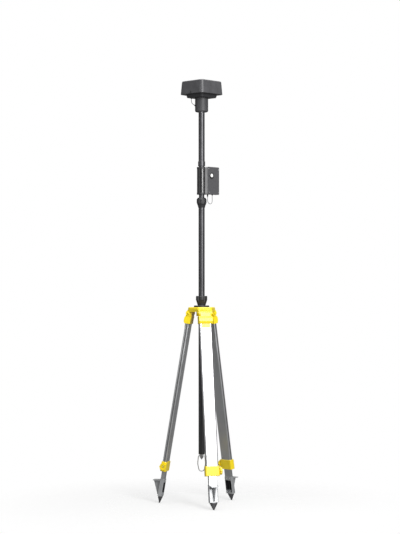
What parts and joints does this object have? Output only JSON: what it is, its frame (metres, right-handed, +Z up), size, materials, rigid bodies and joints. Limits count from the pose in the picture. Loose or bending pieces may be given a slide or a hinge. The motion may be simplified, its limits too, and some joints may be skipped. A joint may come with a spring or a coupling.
{
  "type": "gnss receiver",
  "caption": "Square satellite receiver on a telescopic mast that slides through a folding tripod head, with a clamped control unit, twist lock, leg clamps and spiked shoes.",
  "frame": {"origin": "the ground mark: the point on the floor under the mast's axis, at the level of the spike tips", "axes": "+Z up along the mast; +X under the first leg; the control unit faces -Y"},
  "size_m": [0.4225, 0.4816, 2.266],
  "materials": {
    "cover_plastic": "dark grey fine moulded texture",
    "base_plastic": "near black moulded texture",
    "canister_plastic": "dark grey satin",
    "mast_anodised": "black anodised, satin",
    "black_nylon": "moulded, lightly textured",
    "yellow_casting": "yellow powder coat",
    "yellow_plastic": "moulded yellow",
    "leg_aluminium": "satin anodised extrusion",
    "shoe_steel": "zinc plated",
    "spike_steel": "turned steel",
    "bright_steel": "zinc plated",
    "unit_alloy": "grey powder coat",
    "panel_plastic": "dark grey moulded",
    "lens_white": "white translucent cap",
    "seal_rubber": "matte",
    "lead_rubber": "grey jacket",
    "circuit_board": "green solder mask",
    "cell_wrap": "blue shrink wrap",
    "antenna_ceramic": "fired ceramic with silvering"
  },
  "bodies": {
    "head": {"head_plate": "yellow_casting", "hinge_bolts": "yellow_casting", "collar_flange": "black_nylon", "collar_screws": "bright_steel"},
    "collet": {"mast_collet": "black_nylon"},
    "collar_nut": {"collar_nut": "black_nylon"},
    "mast_lower": {"lower_tube": "mast_anodised", "mast_point": "bright_steel", "lock_body": "black_nylon", "lock_collet": "black_nylon"},
    "lock_nut": {"lock_nut": "black_nylon"},
    "weight_ring": {"weight_ring": "bright_steel"},
    "mast_upper": {"inner_tube": "mast_anodised", "slide_bush": "black_nylon", "coupling_sleeve": "mast_anodised", "upper_tube": "mast_anodised", "mast_adapter": "bright_steel", "canister": "canister_plastic", "battery_cells": "cell_wrap", "receiver_base": "base_plastic", "receiver_screws": "bright_steel", "receiver_cover": "cover_plastic", "cover_seal": "seal_rubber", "receiver_board": "circuit_board", "antenna_patch": "antenna_ceramic", "lead_glands": "black_nylon", "antenna_lead": "lead_rubber"},
    "unit": {"bracket": "unit_alloy", "bracket_bushes": "black_nylon", "unit_body": "unit_alloy", "panel_seal": "seal_rubber", "unit_panel": "panel_plastic", "panel_screws": "bright_steel", "unit_board": "circuit_board", "unit_battery": "cell_wrap", "unit_glands": "black_nylon", "unit_lead": "lead_rubber"},
    "bracket_knob": {"bracket_knob": "black_nylon"},
    "power_button": {"power_button": "lens_white"},
    "leg_1": {"hinge_casting_1": "yellow_casting", "outer_leg_1": "leg_aluminium", "leg_clamp_1": "yellow_plastic"},
    "clamp_knob_1": {"clamp_knob_1": "yellow_plastic"},
    "leg_foot_1": {"inner_leg_1": "leg_aluminium", "shoe_1": "shoe_steel", "spike_1": "spike_steel"},
    "leg_2": {"hinge_casting_2": "yellow_casting", "outer_leg_2": "leg_aluminium", "leg_clamp_2": "yellow_plastic"},
    "clamp_knob_2": {"clamp_knob_2": "yellow_plastic"},
    "leg_foot_2": {"inner_leg_2": "leg_aluminium", "shoe_2": "shoe_steel", "spike_2": "spike_steel"},
    "leg_3": {"hinge_casting_3": "yellow_casting", "outer_leg_3": "leg_aluminium", "leg_clamp_3": "yellow_plastic"},
    "clamp_knob_3": {"clamp_knob_3": "yellow_plastic"},
    "leg_foot_3": {"inner_leg_3": "leg_aluminium", "shoe_3": "shoe_steel", "spike_3": "spike_steel"}
  },
  "joints": [
    {"name": "mast_turn", "type": "hinge", "parent": "head", "child": "collet", "pos_m": [0, 0, 1.08], "axis": [0, 0, 1], "continuous": true},
    {"name": "mast_slide", "type": "slide", "parent": "collet", "child": "mast_lower", "axis": [0, 0, 1], "range_m": [-0.15, 0.6]},
    {"name": "collar_nut_turn", "type": "hinge", "parent": "head", "child": "collar_nut", "pos_m": [0, 0, 1.09], "axis": [0, 0, 1], "range_deg": [0, 270]},
    {"name": "mast_extend", "type": "slide", "parent": "mast_lower", "child": "mast_upper", "axis": [0, 0, 1], "range_m": [-0.012, 0.55]},
    {"name": "lock_nut_turn", "type": "hinge", "parent": "mast_lower", "child": "lock_nut", "pos_m": [0, 0, 1.627], "axis": [0, 0, 1], "range_deg": [0, 120]},
    {"name": "ring_swing", "type": "hinge", "parent": "mast_lower", "child": "weight_ring", "pos_m": [0, 0, 0.259], "axis": [0.7071, -0.7071, 0], "range_deg": [-30, 30]},
    {"name": "unit_swing", "type": "hinge", "parent": "mast_upper", "child": "unit", "pos_m": [0, 0, 1.7315], "axis": [0, 0, 1], "continuous": true},
    {"name": "bracket_knob_turn", "type": "hinge", "parent": "unit", "child": "bracket_knob", "pos_m": [0.03, 0, 1.7315], "axis": [1, 0, 0], "range_deg": [0, 360]},
    {"name": "power_button_press", "type": "slide", "parent": "unit", "child": "power_button", "axis": [0, 1, 0], "range_m": [0, 0.0012], "stiffness_N_per_m": 400, "springref_m": -0.002},
    {"name": "leg_fold_1", "type": "hinge", "parent": "head", "child": "leg_1", "pos_m": [0.062, 0, 1.022], "axis": [0, -1, 0], "range_deg": [-9.6, 25]},
    {"name": "clamp_knob_turn_1", "type": "hinge", "parent": "leg_1", "child": "clamp_knob_1", "pos_m": [0.20125, 0.045, 0.19869], "axis": [0, 1, 0], "range_deg": [0, 360]},
    {"name": "leg_extend_1", "type": "slide", "parent": "leg_1", "child": "leg_foot_1", "axis": [0.1668, 0, -0.986], "range_m": [0, 0.6]},
    {"name": "leg_fold_2", "type": "hinge", "parent": "head", "child": "leg_2", "pos_m": [-0.031, 0.05369, 1.022], "axis": [0.866, 0.5, 0], "range_deg": [-9.6, 25]},
    {"name": "clamp_knob_turn_2", "type": "hinge", "parent": "leg_2", "child": "clamp_knob_2", "pos_m": [-0.1396, 0.15179, 0.19869], "axis": [-0.866, -0.5, 0], "range_deg": [0, 360]},
    {"name": "leg_extend_2", "type": "slide", "parent": "leg_2", "child": "leg_foot_2", "axis": [-0.0834, 0.1444, -0.986], "range_m": [0, 0.6]},
    {"name": "leg_fold_3", "type": "hinge", "parent": "head", "child": "leg_3", "pos_m": [-0.031, -0.05369, 1.022], "axis": [-0.866, 0.5, 0], "range_deg": [-9.6, 25]},
    {"name": "clamp_knob_turn_3", "type": "hinge", "parent": "leg_3", "child": "clamp_knob_3", "pos_m": [-0.06165, -0.19679, 0.19869], "axis": [0.866, -0.5, 0], "range_deg": [0, 360]},
    {"name": "leg_extend_3", "type": "slide", "parent": "leg_3", "child": "leg_foot_3", "axis": [-0.0834, -0.1444, -0.986], "range_m": [0, 0.6]}
  ]
}
